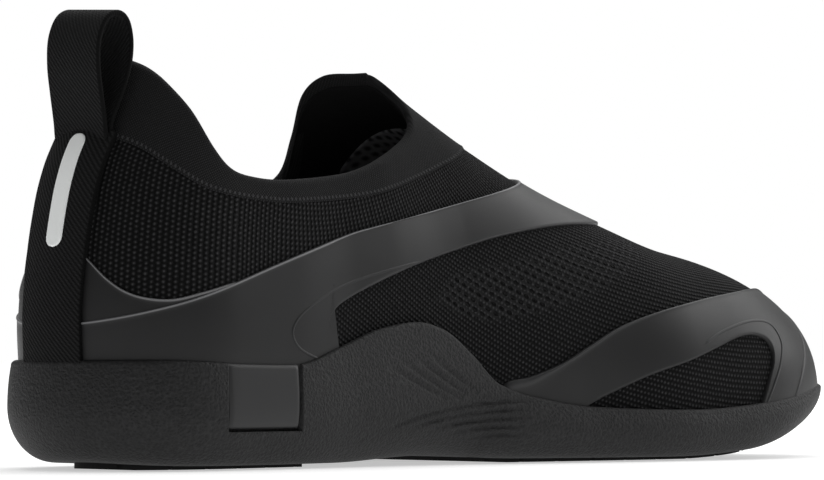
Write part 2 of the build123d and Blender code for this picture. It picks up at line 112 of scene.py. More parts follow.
# The last's driving curves. They are those of the CAD, but fuller at the tongue's front, lower at the
# collar's join and with more toe spring under the foam, each by a few millimetres.
RIDGE = Curve([
    (100, 150), (108, 128), (116, 114), (124, 107), (136, 99.5), (151, 91), (176, 79), (198, 71),
    (222, 63.6), (240, 60), (256, 55.5), (271, 48.5), (281, 41), (286, 33), (289, 24), (290, 10)])
HEEL_BACK = Curve([
    (0, 5), (30, 3.6), (40, 3.2), (55, 4.4), (71, 7.2), (80, 10), (88, 14), (96, 18.5), (104, 22.5),
    (112, 25), (125, 26)])
MEDIAL_WIDTH = Curve([
    (0, 34), (60, 34), (85, 32.5), (118, 33), (165, 40), (208, 46), (240, 46), (262, 44.5), (291, 42)])
LATERAL_WIDTH = Curve([
    (0, 34), (60, 34), (90, 35), (130, 40), (180, 49), (212, 50), (240, 46.5), (262, 42), (279, 38),
    (291, 34)])
RIDGE_SIDE = Curve([(0, 0), (110, 0), (290, -6)])
WALL_SHARE = Curve([
    (0, 0.90), (20, 0.97), (34, 1.0), (50, 0.985), (70, 0.93), (85, 0.87), (110, 0.80), (130, 0.78)])
FOOT_BED = Curve([(-10, 18), (60, 17), (120, 15), (200, 10.5), (250, 12), (280, 16), (305, 21)])
FOAM_BOTTOM = Curve([
    (-10, 3.0), (22, 1.2), (75, 1.2), (112, 2.4), (150, 1.3), (205, 1.2), (235, 2.6), (260, 7.5), (280, 13),
    (305, 19.5)])
MEDIAL_RIM = Curve([
    (-10, 29), (15, 29.2), (40, 28.2), (58, 28), (75, 32.5), (92, 37.8), (106, 39.6), (116, 37.5),
    (126, 31), (136, 22.5), (148, 18.8), (170, 15.8), (205, 14.8), (240, 17), (270, 21.5), (300, 25)])
LATERAL_RIM = Curve([
    (-10, 29), (15, 29.2), (40, 28.2), (70, 28), (100, 27), (130, 22.5), (160, 17.5), (205, 15.2),
    (240, 17), (270, 21.5), (300, 25)])
RIM = {MEDIAL: MEDIAL_RIM, LATERAL: LATERAL_RIM}
COLLAR_JOIN = Curve([
    (-10, 90.5), (10, 89.8), (17, 87), (22, 81.6), (30, 75.6), (40, 72.6), (61, 71.4), (77, 72.2),
    (94, 74.2), (108, 77.2), (126, 82.4), (140, 87), (154, 92), (170, 97)])


# ---- the last's surface ----

def ridge_height(station):
    open_top = RIDGE.y[0] + 2 * (RIDGE.x[0] - station)
    return np.maximum(np.where(station > RIDGE.x[0], RIDGE(station), open_top), DOME_BASE + 2)


def toe_rounding(station):
    reach = np.clip((station - TOE_ROUND_START) / (TOE_STATION - TOE_ROUND_START), 0, 1)
    return np.sqrt(1 - reach ** PLAN_POWER)


def half_width(station, height, side):
    """Half width of the upper at a station and a height."""
    plan = np.where(side < 0, MEDIAL_WIDTH(station), LATERAL_WIDTH(station)) * toe_rounding(station)
    rise = np.clip((height - DOME_BASE) / (ridge_height(station) - DOME_BASE), 0, 1)
    forward = np.clip((station - HEEL_BACK(height)) / HEEL_RADIUS, 0, 1)
    heel = np.sqrt(np.maximum(0, 1 - (1 - forward) ** HEEL_POWER))
    fade = np.clip(1 - (station - LEAN_FADE_START) / LEAN_FADE_RUN, 0, 1)
    lean = 1 - (1 - WALL_SHARE(height)) * fade
    return plan * np.sqrt(1 - rise ** DOME_POWER) * heel * lean


def to_chart(station, height):
    """(around, up) of a point: around is -1 at the heel's back, 0 at its side and 1 at the toe."""
    station = np.asarray(station, float)
    height = np.asarray(height, float)
    back = HEEL_BACK(height)
    side_start = back + HEEL_RADIUS
    forward = np.clip((station - back) / HEEL_RADIUS, 0, 1)
    turn = np.arccos(np.clip((1 - forward) ** (HEEL_POWER / 2), 0, 1))
    ahead = (station - side_start) / (TOE_STATION - side_start)
    around = np.where(station < side_start, turn / (math.pi / 2) - 1, ahead)
    rise = np.clip((height - DOME_BASE) / (ridge_height(station) - DOME_BASE), 0, 1)
    up = np.arcsin(rise ** (DOME_POWER / 2)) / (math.pi / 2)
    return around, np.where(height < DOME_BASE, (height - DOME_BASE) / BELOW_BASE, up)


def from_chart(around, up):
    """(station, height) of a chart point; the chart folds over at the heel's back and the ridge."""
    around, up = np.broadcast_arrays(np.asarray(around, float), np.asarray(up, float))
    # A first guess, which the loop draws to its true place.
    side_start = 40
    station = np.where(around < 0, side_start / 2, side_start + (TOE_STATION - side_start) * around)
    height = np.full(station.shape, 50.0)
    for _ in range(SOLVER_STEPS):
        share = np.sin(np.clip(up, 0, 1) * math.pi / 2) ** (2 / DOME_POWER)
        height = np.where(up < 0, DOME_BASE + BELOW_BASE * up,
                          DOME_BASE + (ridge_height(station) - DOME_BASE) * share)
        back = HEEL_BACK(height)
        turn = (np.clip(around, -1, 0) + 1) * math.pi / 2
        heel = back + HEEL_RADIUS * (1 - np.cos(turn) ** (2 / HEEL_POWER))
        side_start = back + HEEL_RADIUS
        ahead = side_start + (TOE_STATION - side_start) * around
        station = 0.5 * station + 0.5 * np.where(around < 0, heel, ahead)
    return station, height


def surface(around, up, side):
    """Point of the upper's outer face at a chart place."""
    around, up = np.broadcast_arrays(np.asarray(around, float), np.asarray(up, float))
    side = np.where(up > 1, -side, side) * np.where(around < -1, -1, 1)
    up = np.where(up > 1, 2 - up, up)
    around = np.where(around < -1, -2 - around, around)
    station, height = from_chart(around, up)
    width = half_width(station, height, side)
    return np.stack([station - CENTRE_STATION, RIDGE_SIDE(station) + side * width + SIDE_SHIFT, height], -1)


def skin(around, up, side, lift):
    """Point at a distance out of the upper's outer face."""
    step = 0.004
    along = surface(around + step, up, side) - surface(around - step, up, side)
    rising = surface(around, up + step, side) - surface(around, up - step, side)
    normal = np.cross(along, rising) * -(np.zeros(along.shape[:-1]) + side)[..., None]
    normal = normal / np.maximum(np.linalg.norm(normal, axis=-1, keepdims=True), 1e-9)
    return surface(around, up, side) + normal * np.asarray(lift, float)[..., None]


# ---- lines, strips and meshes ----

def spline(points, places):
    """Points on a smooth line through points, at places counted in points from the first."""
    points = np.array(points, float)
    i = np.clip(np.floor(places).astype(int), 0, len(points) - 2)
    t = (places - i)[:, None]
    ends = np.concatenate([[2 * points[0] - points[1]], points, [2 * points[-1] - points[-2]]])
    a, b, c, d = ends[i], ends[i + 1], ends[i + 2], ends[i + 3]
    square = (2 * a - 5 * b + 4 * c - d) * t ** 2
    cube = (3 * b - a - 3 * c + d) * t ** 3
    return 0.5 * (2 * b + (c - a) * t + square + cube)


def run_lengths(points):
    """Distance run at each point of a line."""
    return np.concatenate([[0], np.cumsum(np.linalg.norm(np.diff(points, axis=0), axis=1))])


def chart_line(points, places, from_heel=False, to_ridge=False):
    """Chart places of a smooth side-view line, which may start on the heel's seam and end on the ridge."""
    line = spline(points, places)
    chart = np.stack(to_chart(line[:, 0], line[:, 1]), 1)
    if from_heel:
        chart[places < 1e-6, 0] = -1
    if to_ridge:
        chart[places > len(points) - 1 - 1e-6, 1] = 1
    return chart


class Strip:
    """Part of the upper's skin between a lower and an upper side-view line with paired points."""

    def __init__(self, lower, upper, side, columns, ends=(0.0, 1.0), from_heel=False, to_ridge=False):
        self.side = side
        seams = (from_heel, to_ridge)
        places = np.linspace((len(lower) - 1) * ends[0], (len(lower) - 1) * ends[1], 800)
        runs = [run_lengths(surface(*chart_line(line, places, *seams).T, side)) for line in (lower, upper)]
        run = (runs[0] + runs[1]) / 2
        even = np.interp(np.linspace(0, run[-1], columns), run, places)
        self.places = even
        self.low, self.high = chart_line(lower, even, *seams), chart_line(upper, even, *seams)
        steps = [surface(*(self.low + (self.high - self.low) * k / 12).T, side) for k in range(13)]
        self.width = sum(np.linalg.norm(b - a, axis=1) for a, b in zip(steps, steps[1:]))
        self.run = np.linspace(0, run[-1], columns)

    def rows(self, low_rows, middle_rows, middle_lift, high_rows):
        """(share, lift, edge) rows from rows given as (distance from their edge, lift, edge)."""
        reach = low_rows[-1][0] + high_rows[0][0]
        squeeze = np.minimum(1, 0.9 * self.width / reach) / self.width
        first = low_rows[-1][0] * squeeze
        last = 1 - high_rows[0][0] * squeeze
        rows = [(distance * squeeze, lift, edge) for distance, lift, edge in low_rows]
        for k in range(1, middle_rows + 1):
            share = k / (middle_rows + 1)
            rows.append((first + (last - first) * share, middle_lift, 0.0))
        return rows + [(1 - distance * squeeze, lift, edge) for distance, lift, edge in high_rows]

    def grid(self, rows):
        """Grid of points, texture places in millimetres and edge values for (share, lift, edge) rows."""
        nothing = np.zeros(len(self.width))
        share, lift, edge = (np.stack([row[k] + nothing for row in rows]) for k in range(3))
        spot = self.low + (self.high - self.low) * share[..., None]
        places = np.stack([self.run + 0 * share, share * self.width], -1)
        points = skin(spot[..., 0], spot[..., 1], self.side, lift)
        return Grid(points, places, edge, self.side > 0)


class Grid:
    """Rows of points with texture places and an edge value, ready to be faced."""

    def __init__(self, points, places=None, edges=None, flip=False, closed=False):
        self.points = points
        self.places = np.zeros(points.shape[:2] + (2,)) if places is None else places
        self.edges = np.zeros(points.shape[:2]) if edges is None else edges
        self.flip = flip
        self.closed = closed


def grid_faces(rows, columns, start, flip, closed):
    """Quads of a grid whose vertices are stored row by row."""
    last = columns if closed else columns - 1
    row, column = np.meshgrid(np.arange(rows - 1), np.arange(last), indexing="ij")
    after = (column + 1) % columns
    corners = [row * columns + column, row * columns + after,
               (row + 1) * columns + after, (row + 1) * columns + column]
    if flip:
        corners = corners[::-1]
    return np.stack([c.ravel() for c in corners], 1) + start


def drop_doubled_faces(work):
    """Deletes faces that lie on each other, where two halves were welded."""
    seen = {}
    for face in work.faces:
        seen.setdefault(frozenset(v.index for v in face.verts), []).append(face)
    doubled = [face for faces in seen.values() if len(faces) > 1 for face in faces]
    bmesh.ops.delete(work, geom=doubled, context="FACES_ONLY")


def link_object(name, data):
    item = bpy.data.objects.new(name, data)
    bpy.context.scene.collection.objects.link(item)
    return item


def make_piece(name, grids, slot, replaced, body="shoe"):
    """One welded object from grids, riding on a body unless the body is None."""
    start = 0
    faces = []
    for grid in grids:
        rows, columns = grid.points.shape[:2]
        faces.append(grid_faces(rows, columns, start, grid.flip, grid.closed))
        start += rows * columns
    vertices = np.concatenate([grid.points.reshape(-1, 3) for grid in grids]) * MM
    places = np.concatenate([grid.places.reshape(-1, 2) for grid in grids])
    edges = np.concatenate([grid.edges.ravel() for grid in grids])
    mesh = bpy.data.meshes.new(name)
    mesh.from_pydata(vertices.tolist(), [], np.concatenate(faces).tolist())
    corners = np.zeros(len(mesh.loops), np.int32)
    mesh.loops.foreach_get("vertex_index", corners)
    layer = mesh.uv_layers.new(name="cloth")
    layer.data.foreach_set("uv", places[corners].astype(np.float32).ravel())
    mesh.attributes.new("edge", "FLOAT", "POINT").data.foreach_set("value", edges.astype(np.float32))
    work = bmesh.new()
    work.from_mesh(mesh)
    bmesh.ops.remove_doubles(work, verts=work.verts, dist=0.01 * MM)
    bmesh.ops.dissolve_degenerate(work, edges=work.edges, dist=0.0005 * MM)
    work.verts.index_update()
    drop_doubled_faces(work)
    work.to_mesh(mesh)
    work.free()
    mesh.polygons.foreach_set("use_smooth", [True] * len(mesh.polygons))
    mesh.materials.append(MATERIALS[slot])
    piece = link_object(name, mesh)
    if body:
        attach(piece, body)
    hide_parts(*replaced)
    return piece


BEAD_ROWS = 7


def ridge_bead(points, side, lift, half, height, columns):
    """Low round ridge along a side-view line on the skin."""
    chart = chart_line(points, np.linspace(0, len(points) - 1, columns))
    line = skin(*chart.T, side, np.full(columns, lift))
    out = skin(*chart.T, side, np.full(columns, lift + 1.0)) - line
    ahead = np.gradient(line, axis=0)
    across = np.cross(out, ahead)
    across /= np.linalg.norm(across, axis=1, keepdims=True)
    fade = np.clip(np.minimum(np.arange(columns), np.arange(columns)[::-1]) / 6, 0.05, 1)[:, None]
    rows = []
    for turn in np.linspace(0, math.pi, BEAD_ROWS):
        rise = height * fade * math.sin(turn) - 0.05
        rows.append(line + across * half * fade * math.cos(turn) + out * rise)
    # The beads' edge value paints a faint highlight along them.
    return Grid(np.stack(rows), edges=np.full((BEAD_ROWS, columns), 0.03), flip=side < 0)


def both(make_grid, *sizes):
    """The medial and the lateral grid of a piece."""
    return [make_grid(side, *sizes) for side in SIDES]


# ---- node materials ----

def grey(value):
    return (value, value, value * 1.03)


MATERIALS = {}


class Nodes:
    """Short way to write a node material, which is kept in MATERIALS under its name."""

    def __init__(self, name, roughness, base, specular=0.5):
        material = MATERIALS[name] = bpy.data.materials.new(name)
        material.use_nodes = True
        self.tree = material.node_tree
        self.shader = self.tree.nodes["Principled BSDF"]
        self.shader.inputs["Roughness"].default_value = roughness
        self.shader.inputs["Base Color"].default_value = (*grey(base), 1)
        self.shader.inputs["Specular IOR Level"].default_value = specular

    def add(self, kind, settings=None, **inputs):
        """New node; an input is given by its name, or by its number after an i."""
        node = self.tree.nodes.new(kind)
        for key, value in (settings or {}).items():
            setattr(node, key, value)
        for key, value in inputs.items():
            socket = node.inputs[int(key[1:]) if key[1:].isdigit() else key]
            if hasattr(value, "is_output"):
                self.tree.links.new(value, socket)
            else:
                socket.default_value = value
        return node

    def math(self, operation, first, second=0.0, third=0.5):
        settings = {"operation": operation}
        return self.add("ShaderNodeMath", settings, i0=first, i1=second, i2=third).outputs[0]

    def plus(self, first, second):
        return self.math("ADD", first, second)

    def minus(self, first, second):
        return self.math("SUBTRACT", first, second)

    def times(self, first, second):
        return self.math("MULTIPLY", first, second)

    def raised(self, value, factor):
        """A value times a factor, raised by a half."""
        return self.math("MULTIPLY_ADD", value, factor)

    def ramp(self, value, start, end, low=0.0, high=1.0, kind="LINEAR"):
        """Goes from low at the start to high at the end."""
        settings = {"interpolation_type": kind}
        return self.add("ShaderNodeMapRange", settings, Value=value, i1=start, i2=end, i3=low,
                        i4=high).outputs[0]

    def place(self):
        """Cloth places in millimetres, as two numbers."""
        cloth = self.add("ShaderNodeUVMap", {"uv_map": "cloth"}).outputs[0]
        split = self.add("ShaderNodeSeparateXYZ", Vector=cloth)
        return split.outputs[0], split.outputs[1]

    def position(self):
        """Object place in millimetres."""
        here = self.add("ShaderNodeTexCoord").outputs["Object"]
        settings = {"operation": "SCALE"}
        return self.add("ShaderNodeVectorMath", settings, Vector=here, Scale=1 / MM).outputs[0]

    def edge(self):
        """The mesh's edge value: 1 on a bound edge, the share of a painted highlight on a film's raised
        edge, or 1 inside the perforated patch.
        """
        return self.add("ShaderNodeAttribute", {"attribute_name": "edge"}).outputs["Fac"]

    def noise(self, scale, detail=2.0):
        here = self.position()
        return self.add("ShaderNodeTexNoise", Vector=here, Scale=scale, Detail=detail).outputs["Fac"]

    def wave(self, value, pitch):
        """Goes from 1 to 0 and back once every pitch."""
        turn = self.times(value, 2 * math.pi / pitch)
        return self.raised(self.math("COSINE", turn), 0.5)

    def colour(self, share, dark, light):
        mix = self.add("ShaderNodeMix", {"data_type": "RGBA"}, Factor=share)
        mix.inputs[6].default_value = (*dark, 1)
        mix.inputs[7].default_value = (*light, 1)
        self.tree.links.new(mix.outputs[2], self.shader.inputs["Base Color"])

    def rough(self, share, low, high):
        self.tree.links.new(self.ramp(share, 0.0, 1.0, low, high), self.shader.inputs["Roughness"])

    def bump(self, height, distance):
        """Raises the surface by up to a distance in millimetres."""
        bump = self.add("ShaderNodeBump", Height=height, Distance=distance * MM, Strength=1.0)
        self.tree.links.new(bump.outputs[0], self.shader.inputs["Normal"])


RIB_PITCH, STITCH_PITCH = 1.55, 1.4
HOLE_PITCH, HOLE_STEP = 2.6, 3.4
TWILL_PITCH = 1.35


def knit_material():
    """Ribbed knit: staggered stitches with lighter yarn on their tops, and a patch of round holes."""
    n = Nodes("ribbed_knit", 0.9, 0.006, 0.12)
    rib, along = n.place()
    rib = n.plus(rib, n.times(n.noise(0.35), 0.4))
    ribs = n.wave(rib, RIB_PITCH)
    row = n.math("FLOOR", n.plus(n.math("DIVIDE", rib, RIB_PITCH), 0.5))
    stagger = n.times(n.math("MODULO", row, 2.0), STITCH_PITCH / 2)
    stitches = n.wave(n.plus(along, stagger), STITCH_PITCH)
    knots = n.plus(n.times(stitches, 0.8), 0.2)
    tops = n.math("POWER", n.times(n.plus(n.times(ribs, 0.8), 0.2), knots), 2.2)
    fibre = n.noise(4.0, 3.0)
    uneven = n.times(n.noise(0.7), 2.1)
    shade = n.times(tops, n.times(n.raised(fibre, 1.2), uneven))
    line = n.math("DIVIDE", rib, HOLE_PITCH)
    shift = n.times(n.math("MODULO", n.math("FLOOR", line), 2.0), HOLE_STEP / 2)
    across = n.minus(n.math("FRACT", line), 0.5)
    down = n.minus(n.math("FRACT", n.math("DIVIDE", n.plus(along, shift), HOLE_STEP)), 0.5)
    far = n.plus(n.times(n.times(across, across), 1.4), n.times(down, down))
    inside = n.edge()
    holes = n.times(n.ramp(far, 0.13, 0.09), inside)
    shade = n.plus(shade, n.times(inside, 0.22))
    n.colour(n.times(shade, n.minus(1.0, holes)), grey(0.0025), grey(0.045))
    height = n.plus(n.times(ribs, 0.7), n.times(tops, 0.6))
    height = n.plus(height, n.times(fibre, 0.3))
    n.bump(n.minus(height, n.times(holes, 2.5)), 0.5)


def smooth_knit_material():
    """Fine collar knit with a row of pale stitches just above its join."""
    n = Nodes("smooth_knit", 0.9, 0.008, 0.12)
    across, along = n.place()
    fine = n.times(n.wave(n.plus(across, along), 0.9), n.wave(n.minus(across, along), 0.9))
    fibre = n.noise(3.0, 3.0)
    near = n.ramp(n.math("ABSOLUTE", n.minus(along, 0.8)), 0.5, 0.3)
    stitch = n.times(near, n.ramp(n.wave(across, 1.5), 0.5, 0.7))
    n.colour(n.plus(n.times(fine, fibre), n.times(stitch, 0.8)), grey(0.008), grey(0.05))
    height = n.plus(n.times(fine, 0.6), n.times(fibre, 0.5))
    n.bump(n.plus(height, stitch), 0.18)


def film_material():
    """Satin bonded film with a painted highlight along its raised edges."""
    n = Nodes("film", 0.45, 0.02, 0.28)
    patch = n.noise(0.05)
    # The edge value paints a highlight along the film's raised edges.
    n.colour(n.plus(n.edge(), n.times(patch, 0.04)), grey(0.008), grey(0.2))
    n.rough(patch, 0.4, 0.5)
    n.bump(n.noise(6.0, 3.0), 0.02)


def foam_material():
    """Moulded foam with a fine pebble grain."""
    n = Nodes("sole_foam", 0.6, 0.018, 0.27)
    cells = n.add("ShaderNodeTexVoronoi", {"feature": "SMOOTH_F1"}, Vector=n.position(), Scale=1.3)
    pebble = cells.outputs["Distance"]
    grain = n.noise(2.4, 4.0)
    n.colour(n.times(n.plus(n.noise(0.03), grain), pebble), grey(0.007), grey(0.026))
    n.rough(grain, 0.5, 0.7)
    n.bump(n.plus(pebble, n.times(grain, 0.8)), 0.3)


def plate_material():
    n = Nodes("side_plate", 0.45, 0.022, 0.35)
    n.colour(n.noise(0.08), grey(0.02), grey(0.025))
    n.bump(n.noise(5.0, 3.0), 0.015)


def webbing_material():
    """Twill webbing: fine slanted ribs that stop at its bound edges."""
    n = Nodes("webbing", 0.85, 0.012, 0.15)
    across, along = n.place()
    ribs = n.wave(n.minus(n.times(along, 0.9), across), TWILL_PITCH)
    ribs = n.times(ribs, n.minus(1.0, n.edge()))
    weft = n.wave(n.minus(along, n.times(across, 0.3)), 0.7)
    shade = n.times(ribs, n.raised(n.noise(4.0, 3.0), 1.2))
    n.colour(n.times(shade, n.raised(weft, 0.4)), grey(0.0025), grey(0.016))
    n.bump(n.plus(ribs, n.times(weft, 0.3)), 0.2)


def label_material():
    """Blank woven label: rows of short dark floats on grey yarn."""
    n = Nodes("label", 0.85, 0.09, 0.2)
    along, across = n.place()
    floats = n.times(n.wave(n.plus(along, across), 3.4), n.wave(across, 2.3))
    weave = n.noise(2.5, 3.0)
    n.colour(n.times(floats, n.raised(weave, 1.5)), grey(0.13), grey(0.015))
    n.bump(n.plus(floats, weave), 0.1)


def grained_material(name, roughness, grain, dark, light, depth, specular):
    """Plain material whose tone and surface both follow one fine grain, given as (scale, detail)."""
    n = Nodes(name, roughness, light[0], specular)
    speck = n.noise(*grain)
    n.colour(speck, dark, light)
    n.bump(speck, depth)


for make_material in (knit_material, smooth_knit_material, film_material, foam_material,
                      plate_material, webbing_material, label_material):
    make_material()
for plain in (
        ("lining", 0.95, (2.5, 4.0), grey(0.003), grey(0.01), 0.2, 0.1),
        ("outsole_rubber", 0.75, (1.8, 4.0), grey(0.006), grey(0.013), 0.15, 0.2),
        ("sock_fabric", 0.9, (2.0, 3.0), grey(0.006), grey(0.014), 0.15, 0.5),
        ("board", 0.9, (2.0, 3.0), grey(0.2), grey(0.3), 0.15, 0.5),
        ("stiffener", 0.9, (2.0, 3.0), grey(0.25), grey(0.33), 0.15, 0.5),
        ("strip", 0.4, (5.0, 2.0), (0.9, 0.92, 0.91), (0.95, 0.97, 0.96), 0.02, 0.5)):
    grained_material(*plain)


# ---- knit upper ----

# Line along the middle of the band, where the knit's ribs change direction under the film.
RIB_CHANGE = Curve([(-10, 30), (30, 36), (70, 50), (110, 62), (150, 70), (190, 75)])


def level(around, curve, offset):
    """Chart height at which each column meets a side-view curve, or the ridge if it never does."""
    low, high = np.full(len(around), -1.5), np.ones(len(around))
    for _ in range(40):
        middle = (low + high) / 2
        station, height = from_chart(around, middle)
        above = height > curve(station) + offset
        low, high = np.where(above, low, middle), np.where(above, middle, high)
    return (low + high) / 2


def even_columns(side, count, last):
    """Column places from the heel's back to the toe, evenly spaced round the shoe."""
    places = np.linspace(-1, 1, 4000)
    places = np.concatenate([places[places < last], [last]])
    run = run_lengths(surface(places, level(places, RIM[side], 2.0), side))
    return np.interp(np.linspace(0, run[-1], count), run, places)


def knit_places(points, around, station, height):
    """Rib phase and stitch place: upright ribs behind the band, lengthwise ribs in front of it."""
    up = np.cumsum(np.concatenate([height[:1], np.linalg.norm(np.diff(points, axis=0), axis=2)]), axis=0)
    wrapped = 40 + np.where(around < 0, 52.0, 251.0) * around
    lean = 0.85 * np.clip((station - 55) / 90, 0, 1)
    rear_rib = wrapped + lean * (up - 70)
    rear_along = up - lean * wrapped * 0.6
    ahead = np.clip((station - 90) / 170, 0, 1)
    drop = 0.62 - 0.42 * ahead
    front_rib = up + drop * (station - 90) + 20 * ahead
    front_along = station - drop * up
    rear = (height > RIB_CHANGE(station)) & (station < 190)
    return np.stack([np.where(rear, rear_rib, front_rib), np.where(rear, rear_along, front_along)], -1)


HOLES_LOW = Curve([(117, 45.5), (124, 42), (135, 40), (147, 41.5), (175, 49), (197, 58), (205, 64)])
HOLES_HIGH = Curve([(117, 46.5), (124, 53), (141, 56), (165, 61), (190, 64), (205, 65)])


def hole_share(station, height):
    """Goes to 1 inside the perforated patch below the band."""
    ahead = np.minimum(station - 116, 203 - station)
    inside = np.minimum(height - HOLES_LOW(station), HOLES_HIGH(station) - height)
    return np.clip(np.minimum(ahead, inside) / 1.5 + 0.5, 0, 1)


def knit_grid(side, columns=300, outer_rows=84, inner_rows=14, thickness=1.6):
    """Outer and inner face of the knit on one side, as one closed profile."""
    around = even_columns(side, columns, 0.992)
    bottom = level(around, RIM[side], -4.0)
    top = level(around, COLLAR_JOIN, 0.0)
    shares = np.concatenate([np.linspace(0, 1, outer_rows), np.linspace(1, 0, inner_rows), [0]])
    lifts = np.concatenate([np.zeros(outer_rows), np.full(inner_rows, -thickness), [0]])
    up = bottom + (top - bottom) * shares[:, None]
    station, height = from_chart(around + 0 * up, up)
    points = skin(around + 0 * up, up, side, lifts[:, None] + 0 * up)
    places = knit_places(points, around, station, height)
    return Grid(points, places, hole_share(station, height), flip=side > 0)


make_piece("knit_upper_skin", both(knit_grid), "ribbed_knit", ["knit_upper"])


# ---- collar ----

HEEL_PEAK = [(24.6, 110.4), (28, 106), (33, 96.5), (37, 86.5), (42, 80.5)]
COLLAR_RIM = {
    MEDIAL: HEEL_PEAK + [(50, 78.4), (62, 78), (83, 80), (96, 83), (112, 89), (121, 94), (124.8, 99.4),
                         (123.6, 105.2), (119.2, 110.9)],
    LATERAL: HEEL_PEAK + [(50, 78), (62, 76.8), (83, 76.3), (99, 77.2), (109.2, 82.5), (111, 93),
                          (110.8, 104.5), (113.8, 110.2), (119.2, 110.9)]}
COLLAR_FOOT = [
    (14.6, 88.9), (18.5, 85.6), (24, 79.9), (31, 75), (38, 73), (48, 71.8), (62, 71.4), (84, 73),
    (100, 75.4), (117, 79.8), (129, 83.4), (138, 86.2), (145, 88.7), (151.5, 90.8)]
LINING_FOOT = [
    (4.6, 22), (7, 22), (14, 22), (22, 22), (32, 22), (45, 22), (62, 22), (82, 22), (97, 23), (112, 25),
    (130, 30), (148, 42), (160, 60), (166, 83)]
THROAT_PLACE = 9.6


def rim_radius(strip):
    """Radius of the rolled rim: thick round the ankle, thin on the tongue."""
    forward = np.clip((strip.places - THROAT_PLACE + 1) / 2, 0, 1)
    return 2.6 - 1.5 * forward


def collar_band_grid(side):
    """Collar knit: a folded edge on the join, a flat run and a rolled rim."""
    strip = Strip(COLLAR_FOOT, COLLAR_RIM[side], side, 260, (0, 1), True, True)
    radius = rim_radius(strip)
    width = strip.width
    join = ((-1.5, -0.7), (-0.3, -0.3), (0.0, 0.22), (0.5, 0.42), (1.3, 0.32))
    rows = [(above / width, lift, 0) for above, lift in join]
    start = 1.3 / width
    stop = 1 - radius / width
    for k in range(1, 17):
        rows.append((start + (stop - start) * k / 17, 0.32 * (1 - k / 17), 0))
    for k in range(13):
        turn = math.pi * k / 12
        rows.append((1 - radius * (1 - math.sin(turn)) / width, -radius * (1 - math.cos(turn)), 0))
    rows.append((1 - (radius + 3) / width, -2 * radius - 0.3, 0))
    rows.append((1 - (radius + 3.4) / width, -2 * radius + 0.4, 0))
    return strip.grid(rows)


def lining_depth(strip):
    """Depth of the lining's face: full padding round the ankle, thin toward the tongue."""
    forward = np.clip((strip.places - 8.0) / 1.6, 0, 1)
    return 5.9 - 3.3 * forward


def lining_grid(side, ends, rows_count=60):
    """Padded lining from under the rim down to the foot bed, on one side."""
    strip = Strip(LINING_FOOT, COLLAR_RIM[side], side, 180, ends, True, True)
    radius = rim_radius(strip)
    width = strip.width
    full = lining_depth(strip)
    rows = []
    for below, lift in ((1.6, 0.5), (1.9, -0.25), (2.6, -0.6)):
        top = 1 - (radius + below) / width
        rows.append((top, -2 * radius + lift, 0))
    for k in range(1, rows_count + 1):
        share = k / rows_count
        swell = math.sin(math.pi * min(1, share * 1.6)) ** 0.8 if share < 0.625 else 0.0
        lift = -2 * radius - 0.6 - (full - 2 * radius - 0.6) * min(1, share * 5) - 1.2 * swell * (full > 4)
        rows.append((top * (1 - share), lift, 0))
    rows.append((0.0, -1.7, 0))
    return strip.grid(rows[::-1])


THROAT = THROAT_PLACE / (len(LINING_FOOT) - 1)
make_piece("collar_knit", both(collar_band_grid), "smooth_knit", ["collar_band"])
padding = make_piece("collar_padding", both(lining_grid, (0, THROAT)), "lining",
                     ["collar_lining", "collar_foam"])
make_piece("tongue_lining_knit", both(lining_grid, (THROAT, 1)), "lining", ["tongue_lining"])


def label_grid(stations=(134, 147), sideways=(3.0, 26.0), slant=0.45, lift=-3.0, count=24):
    """Blank sewn label on the inside of the tongue, with its edges turned down onto the lining."""
    ease = np.linspace(0, 1, count)
    station, aside = np.meshgrid(np.linspace(*stations, count), np.linspace(*sideways, count))
    station = station - slant * (aside - 14)
    widest = half_width(station, DOME_BASE + 0 * station, LATERAL)
    rise = (1 - (aside / widest) ** 2) ** (1 / DOME_POWER)
    around, up = to_chart(station, DOME_BASE + (ridge_height(station) - DOME_BASE) * rise)
    inset = np.minimum(ease, 1 - ease)
    inset = np.minimum(inset[None], inset[:, None])
    points = skin(around, up, LATERAL, np.where(inset < 0.01, lift + 0.7, lift))
    return Grid(points, np.stack([station, aside], -1))


make_piece("blank_size_label", [label_grid()], "label", ["size_label"])


# ---- bonded films ----

FILM_LIFT, BUMPER_LIFT = 1.0, 1.38
# Rows of a film's two edges, each as (distance from the edge, lift, tone of the painted highlight).
FILM_LOW_EDGE = [
    (-0.15, -0.6, 0.0), (-0.12, 0.25, 0.02), (0.02, 0.62, 0.08), (0.25, 0.9, 0.12), (0.55, 1.0, 0.06),
    (1.1, 1.0, 0.0)]
FILM_HIGH_EDGE = [
    (1.8, 1.0, 0.0), (1.0, 1.02, 0.0), (0.75, 1.08, 0.1), (0.55, 1.18, 0.7), (0.32, 1.22, 1.0),
    (0.1, 1.08, 0.7), (-0.05, 0.7, 0.1), (-0.12, 0.25, 0.0), (-0.15, -0.6, 0.0)]
HEEL_FILM_TOP = [
    (1.5, 70), (3.5, 65), (5.5, 59), (8.4, 50.5), (12.5, 46.2), (19.5, 45), (28, 46.9), (37, 49.3),
    (46, 51.2)]
HEEL_FILM_FOOT = [
    (1.5, 34), (3, 34), (5.5, 34), (9.5, 34.5), (14, 36), (20, 38), (28, 41), (38, 45), (46, 48.5)]
BAND_TOP = [
    (3.5, 38.6), (14, 41.7), (25, 45), (38, 49.4), (50, 53.4), (62, 57.2), (72, 60.2), (79, 62.2), (86, 64),
    (96, 66), (108, 68.3), (121, 70.8), (137, 74), (151, 76.8), (163, 79.2), (172.6, 81)]
BAND_FOOT = [
    (3.5, 25), (14, 25), (25, 24), (38, 24), (50, 24), (62, 25), (76, 30), (72, 38), (74.8, 42.5),
    (80.5, 45.6), (92, 50), (106, 54.6), (124, 59.3), (146, 64.4), (172, 67.7), (206.5, 68.8)]
